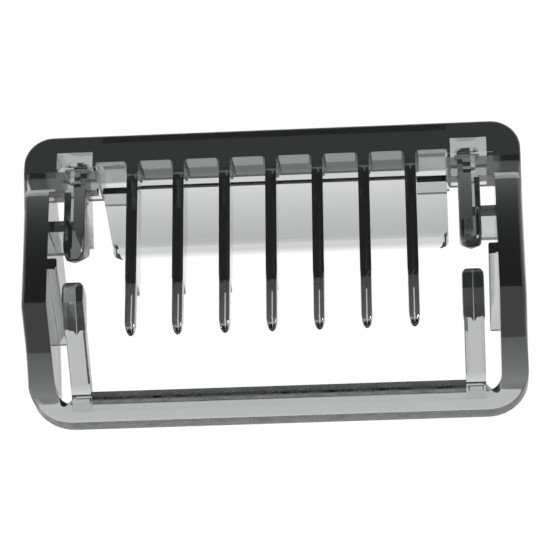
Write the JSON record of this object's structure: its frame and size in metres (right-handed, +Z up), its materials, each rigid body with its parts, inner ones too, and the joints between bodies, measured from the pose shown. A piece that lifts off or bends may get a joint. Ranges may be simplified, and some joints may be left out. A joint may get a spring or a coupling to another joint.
{
  "type": "clipper guard comb",
  "caption": "Clip-on guard comb in clear smoke-tinted plastic that keeps a trimmer's blade a set height above the skin.",
  "frame": {"origin": "centre of the bounding box's underside, as the comb stands on the toes of its side walls and on its panel foot", "axes": "+X across the comb along its rails, +Y from the rear bar towards the front rail, +Z up; the skin plane faces up and leans forward by 5.2 degrees"},
  "size_m": [0.04, 0.0226, 0.0125],
  "materials": {
    "smoke_clear": "gloss"
  },
  "bodies": {
    "comb": {"front_rail": "smoke_clear", "slot_floor": "smoke_clear", "number_panel": "smoke_clear", "panel_foot": "smoke_clear", "rear_bar": "smoke_clear", "left_front_corner": "smoke_clear", "left_corner_shelf": "smoke_clear", "left_pocket_boss": "smoke_clear", "left_side_wall": "smoke_clear", "left_rear_corner": "smoke_clear", "left_panel_lip": "smoke_clear", "left_guide_peg": "smoke_clear", "left_peg_gusset": "smoke_clear", "left_web": "smoke_clear", "left_guide_rail": "smoke_clear", "right_front_corner": "smoke_clear", "right_corner_shelf": "smoke_clear", "right_pocket_boss": "smoke_clear", "right_side_wall": "smoke_clear", "right_rear_corner": "smoke_clear", "right_panel_lip": "smoke_clear", "right_guide_peg": "smoke_clear", "right_peg_gusset": "smoke_clear", "right_web": "smoke_clear", "right_guide_rail": "smoke_clear", "tooth_1": "smoke_clear", "tooth_2": "smoke_clear", "tooth_3": "smoke_clear", "tooth_4": "smoke_clear", "tooth_5": "smoke_clear", "tooth_6": "smoke_clear", "tooth_7": "smoke_clear"},
    "left_snap_arm": {"left_snap_post": "smoke_clear", "left_snap_hook": "smoke_clear"},
    "right_snap_arm": {"right_snap_post": "smoke_clear", "right_snap_hook": "smoke_clear"}
  },
  "joints": [
    {"name": "left_snap_flex", "type": "hinge", "parent": "comb", "child": "left_snap_arm", "pos_m": [-0.0158, -0.00854, 0.00604], "axis": [1, 0, 0], "range_deg": [0, 5], "stiffness_Nm_per_rad": 0.02},
    {"name": "right_snap_flex", "type": "hinge", "parent": "comb", "child": "right_snap_arm", "pos_m": [0.0158, -0.00854, 0.00604], "axis": [1, 0, 0], "range_deg": [0, 5], "stiffness_Nm_per_rad": 0.02}
  ]
}
